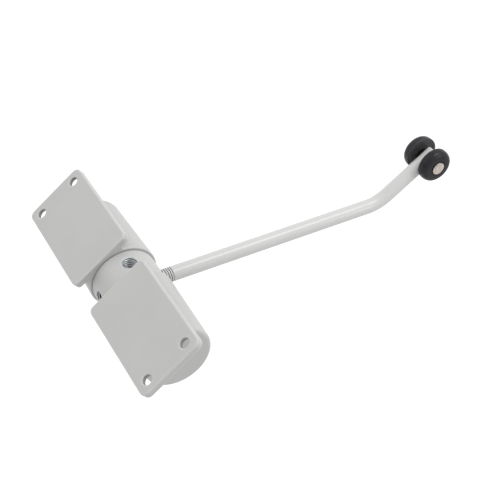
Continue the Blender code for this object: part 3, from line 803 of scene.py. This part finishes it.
def make_socket_threads():
    """Threaded wall of each socket: an inner thread that follows the collar's round mouth, closed outside.

    The mouth lies at the root of the collar's radius squared less the wall's sideways reach squared.
    """
    columns = 72
    angle = np.arange(columns)[None, :] * TAU / columns
    outside = SOCKET_WALL + 0.1
    mouth = np.sqrt(COLLAR_RADIUS ** 2 - (outside * np.cos(angle)) ** 2) - 0.3
    floor = SOCKET_FLOOR - 0.1
    share = np.linspace(0.0, 1.0, 110)[:, None]
    distance = floor + (mouth - floor) * share
    depth = thread_wave(distance / THREAD_PITCH - angle / TAU)
    inner = np.maximum(SOCKET_CREST + THREAD_DEPTH * depth, SOCKET_WALL - 0.15 - 1.1 * (mouth - distance))
    outer = floor + (mouth - floor) * np.array([1.0, 0.0])[:, None]
    along = np.concatenate([distance, outer])
    radius = np.concatenate([inner, np.full_like(outer, outside)])
    rubbed = np.clip(distance - mouth + 1.0, 0.0, 1.0)
    crest = np.concatenate([np.maximum(1.0 - depth, 0.75 * rubbed), 0.0 * outer])
    points = np.stack([along, radius * np.cos(angle), radius * np.sin(angle)], -1).reshape(-1, 3)
    quads = grid_quads(len(along), columns, rows_join=True)
    for index in range(4):
        placed = put_in_place(points, ARM_ANGLE + index * TAU / 4)
        make_piece(
            "socket_thread_%d" % (index + 1), placed, quads, "collar_and_arm", [SOCKET_THREAD],
            crest=crest)


def make_arm():
    """Rod with a threaded root, a bend and a flattened tip; paint starts where the thread runs out."""
    end = (BEND_DISTANCE - 2 * BEND_RADIUS * np.tan(BEND_ANGLE / 2) + BEND_RADIUS * BEND_ANGLE
           + PIN_DISTANCE + TIP_LENGTH)
    distance = np.unique(np.concatenate([
        np.arange(THREAD_START, THREAD_END + 2.0, THREAD_PITCH / 12),
        np.arange(THREAD_END + 2.0, end - 18.0, 1.75),
        np.arange(end - 18.0, end - TIP_EDGE, 0.75),
        end - TIP_EDGE * (1.0 - np.sin(np.linspace(0.0, np.pi / 2, 8))),
    ]))
    columns = 72
    angle = np.arange(columns)[None, :] * TAU / columns
    path, turn = arm_line(distance)
    along = distance[:, None]
    height = thread_wave(along / THREAD_PITCH - angle / TAU, 0.42)
    root = ROOT_VALLEY + THREAD_DEPTH * height
    runout = np.clip((along - THREAD_END) / 1.0, 0.0, 1.0)
    radius = root + (ROD_RADIUS - root) * eased(runout)
    radius = np.minimum(radius, THREAD_LEAD_RADIUS + (along - THREAD_START))
    into_end = np.clip(along - (end - TIP_EDGE), 0.0, TIP_EDGE)
    radius = radius - (TIP_EDGE - np.sqrt(TIP_EDGE ** 2 - into_end ** 2))
    flat = np.clip((distance - (end - FLATS_LENGTH)) / FLATS_RUNOUT, 0.0, 1.0)
    squeeze = FULL_HALF_THICKNESS + (TIP_HALF_THICKNESS - FULL_HALF_THICKNESS) * eased(flat)
    normal = np.stack([-np.sin(turn), np.cos(turn), 0.0 * turn], -1)
    points, quads = carried(path, normal, radius, squeeze, columns)
    crest = np.concatenate([height[:1], height, height[-1:]])
    piece = make_piece(
        "bent_arm", put_in_place(points, ARM_ANGLE), quads, "collar_and_arm",
        [ROD_PAINT, ROD_THREAD], crest=crest)
    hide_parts("arm")
    centre = np.zeros(len(piece.data.polygons) * 3)
    piece.data.polygons.foreach_get("center", centre)
    from_body = np.linalg.norm(centre.reshape(-1, 3) - np.array(BODY_CENTRE), axis=1)
    bare = (from_body < (THREAD_END + PAINT_OVERLAP) * MM).astype(np.int32)
    piece.data.polygons.foreach_set("material_index", bare)


def put_on_pin(points, half_turn=False):
    """Place points given about the roller pin's axis; a half turn about X takes (x, y, z) to (x, -y, -z)."""
    placed = points * np.array([1.0, -1.0, -1.0]) if half_turn else points
    return put_in_place(placed + pin_place(), ARM_ANGLE)


def make_rollers():
    """Rollers with a dished inner face, a soft inner rim, a full round shoulder and a seat for the rivet."""
    tread = softened(
        [
            (ROLLER_BORE, ROLLER_OUTER - SEAT_DEPTH), (ROLLER_BORE, ROLLER_INNER),
            (ROLLER_HUB, ROLLER_INNER), (DISH_LOW, ROLLER_INNER + DISH_DEPTH),
            (DISH_HIGH, ROLLER_INNER + DISH_DEPTH), (DISH_RIM, ROLLER_INNER),
            (ROLLER_RADIUS, ROLLER_INNER), (ROLLER_TREAD, ROLLER_OUTER),
            (ROLLER_SEAT, ROLLER_OUTER), (ROLLER_SEAT, ROLLER_OUTER - SEAT_DEPTH),
        ],
        [0.15, 0.2, 0.12, 0.2, 0.2, 0.12, 0.9, ROLLER_SHOULDER, 0.25, 0.15],
        steps=10,
    )
    spacer = softened(
        [
            (ROLLER_BORE, SPACER_TOP), (ROLLER_BORE, SPACER_LOW),
            (SPACER_RADIUS, SPACER_LOW), (SPACER_RADIUS, SPACER_TOP),
        ],
        [0.12, 0.12, 0.2, 0.2],
    )
    for side in ("upper", "lower"):
        down = side == "lower"
        points, quads = turned(tread, columns=112)
        piece = make_piece(
            side + "_roller_moulding", put_on_pin(points, down), quads, side + "_roller",
            [BLACK_NYLON])
        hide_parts(side + "_roller")
        points, quads = turned(spacer)
        piece = make_piece(
            side + "_roller_spacer", put_on_pin(points, down), quads, "collar_and_arm",
            [RIVET_STEEL])
        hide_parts(side + "_roller_washer")


def make_rivet():
    """Rivet with a slightly crowned, bevelled head at each end."""
    half = [
        (0.0, PIN_HEAD_TOP), (3.7, PIN_HEAD_TOP - 0.1), (PIN_HEAD_RADIUS, PIN_HEAD_TOP - 0.5),
        (PIN_HEAD_RADIUS, PIN_HEAD_LOW), (PIN_RADIUS, PIN_HEAD_LOW),
    ]
    cuts = [0.0, 0.8, 0.35, 0.15, 0.1]
    profile = softened(half + [(r, -z) for r, z in reversed(half)], cuts + cuts[::-1])
    points, quads = turned(profile, closed=False)
    piece = make_piece(
        "roller_rivet", put_on_pin(points), quads, "collar_and_arm", [RIVET_STEEL])
    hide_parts("roller_pin")


def make_springs():
    """Torsion springs: a close coil whose ends ease into straight tangs along the axis.

    In the closer the coil twists as the collar turns: its inner tang goes with the collar, its outer tang
    stays. Here the coil is made once, fixed in the frame, and does not twist.

    Along the wire, the length wound round the coil is half of (the hyperbola about its start, less the
    hyperbola about its end, plus its length); what is left over runs straight along the axis.
    """
    coil = TAU * TANG_CIRCLE * COIL_TURNS
    wire = np.arange(-TANG_LENGTH, coil + TANG_LENGTH - 1.0, 1.5)
    wound = 0.5 * (np.hypot(wire, TANG_EASE) - np.hypot(wire - coil, TANG_EASE) + coil)
    height = COIL_START + (COIL_END - COIL_START) * wound / coil + (wire - wound)
    for side, hand in (("upper", 1), ("lower", -1)):
        turn = COIL_FIRST_ANGLE + hand * wound / TANG_CIRCLE
        outward = np.stack([np.cos(turn), np.sin(turn), 0.0 * turn], -1)
        path = outward * TANG_CIRCLE
        path[:, 2] = height
        points, quads = carried(path, outward, WIRE_RADIUS, columns=16)
        placed = put_in_place(points, half_turn=side == "lower")
        piece = make_piece(side + "_spring_coil", placed, quads, None, [SPRING_STEEL])
        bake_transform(piece)
        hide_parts(side + "_spring")


def finish_inner_nodes():
    """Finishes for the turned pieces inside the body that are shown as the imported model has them."""
    finishes = {
        "thrust_ring": BLACK_NYLON,
        "bush": SINTERED_BRONZE,
        "spring_guide": NATURAL_NYLON,
        "washer": BARE_STEEL,
        "retaining_ring": SPRING_STEEL,
    }
    for side in ("upper", "lower"):
        for node, material in finishes.items():
            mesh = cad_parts[side + "_" + node].data
            mesh.materials.clear()
            mesh.materials.append(material)
    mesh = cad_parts["spindle"].data
    mesh.materials.clear()
    mesh.materials.append(BARE_STEEL)


# ---------------------------------------------------------------- floor, light and camera, in metres

FLOOR_HEIGHT = -0.8
BODY_AIM = (0.06, -0.07, 0.05)
ROLLER_AIM = (0.193, -0.143, 0.06)


def make_floor():
    """Pale studio floor, well below the closer, which its mounts hold."""
    reach = 4.0
    corners = ((-reach, -reach), (reach, -reach), (reach, reach), (-reach, reach))
    mesh = bpy.data.meshes.new("studio_floor")
    mesh.from_pydata([(x, y, FLOOR_HEIGHT) for x, y in corners], [], [(0, 1, 2, 3)])
    material, shader, surface, vector = start_material("studio_floor")
    shade = shader.spread(shader.noise(vector, 3.0, 2.0), 0.3, 0.7, 0.93, 0.95)
    shader.feed(surface.inputs["Base Color"], shade)
    surface.inputs["Roughness"].default_value = 0.9
    surface.inputs["Emission Color"].default_value = (1.0, 1.0, 1.0, 1.0)
    surface.inputs["Emission Strength"].default_value = 0.25
    mesh.materials.append(material)
    floor = bpy.data.objects.new("studio_floor", mesh)
    bpy.context.scene.collection.objects.link(floor)


def make_lamp(name, place, aim, size, power):
    """Round soft lamp at a place, looking at a point; a lamp shines along its own minus Z."""
    lamp = bpy.data.lights.new(name, "AREA")
    lamp.shape = "DISK"
    lamp.size = size
    lamp.energy = power
    holder = bpy.data.objects.new(name, lamp)
    bpy.context.scene.collection.objects.link(holder)
    holder.location = place
    away = np.array(place) - np.array(aim)
    across = np.cross((0.0, 0.0, 1.0), away)
    across /= np.linalg.norm(across)
    away /= np.linalg.norm(away)
    up = np.cross(away, across)
    holder.rotation_euler = bpy_matrix(across, up, away).to_euler()


def bpy_matrix(right, up, back):
    """Rotation whose columns are the right, up and back directions."""
    return Matrix(np.stack([right, up, back], -1).tolist())


def light_the_room():
    """Even white surroundings, a large key lamp by the arm's side, and a small one for the rollers' sheen."""
    world = bpy.data.worlds.new("studio")
    world.use_nodes = True
    sky = world.node_tree.nodes["Background"]
    sky.inputs["Color"].default_value = (1.0, 1.0, 1.0, 1.0)
    sky.inputs["Strength"].default_value = 0.90
    bpy.context.scene.world = world
    make_lamp("key", (0.978, 0.394, 0.261), BODY_AIM, size=0.5, power=4.0)
    make_lamp("sheen", (0.39, -0.16, 0.347), ROLLER_AIM, size=0.10, power=0.20)


def place_camera():
    """Camera on the mounting faces' side, above the closer."""
    camera = bpy.data.cameras.new("camera")
    camera.sensor_width = 36.0
    camera.lens = 79.81
    camera.clip_start = 0.01
    holder = bpy.data.objects.new("camera", camera)
    bpy.context.scene.collection.objects.link(holder)
    holder.location = (0.14043, 0.45321, 0.50438)
    holder.rotation_euler = np.radians((-41.7396, -28.6856, -36.3376))
    bpy.context.scene.camera = holder


make_housings()
make_collar()
make_socket_threads()
make_arm()
make_rollers()
make_rivet()
make_springs()
finish_inner_nodes()
make_floor()
light_the_room()
place_camera()
bpy.context.scene.view_settings.view_transform = "Standard"
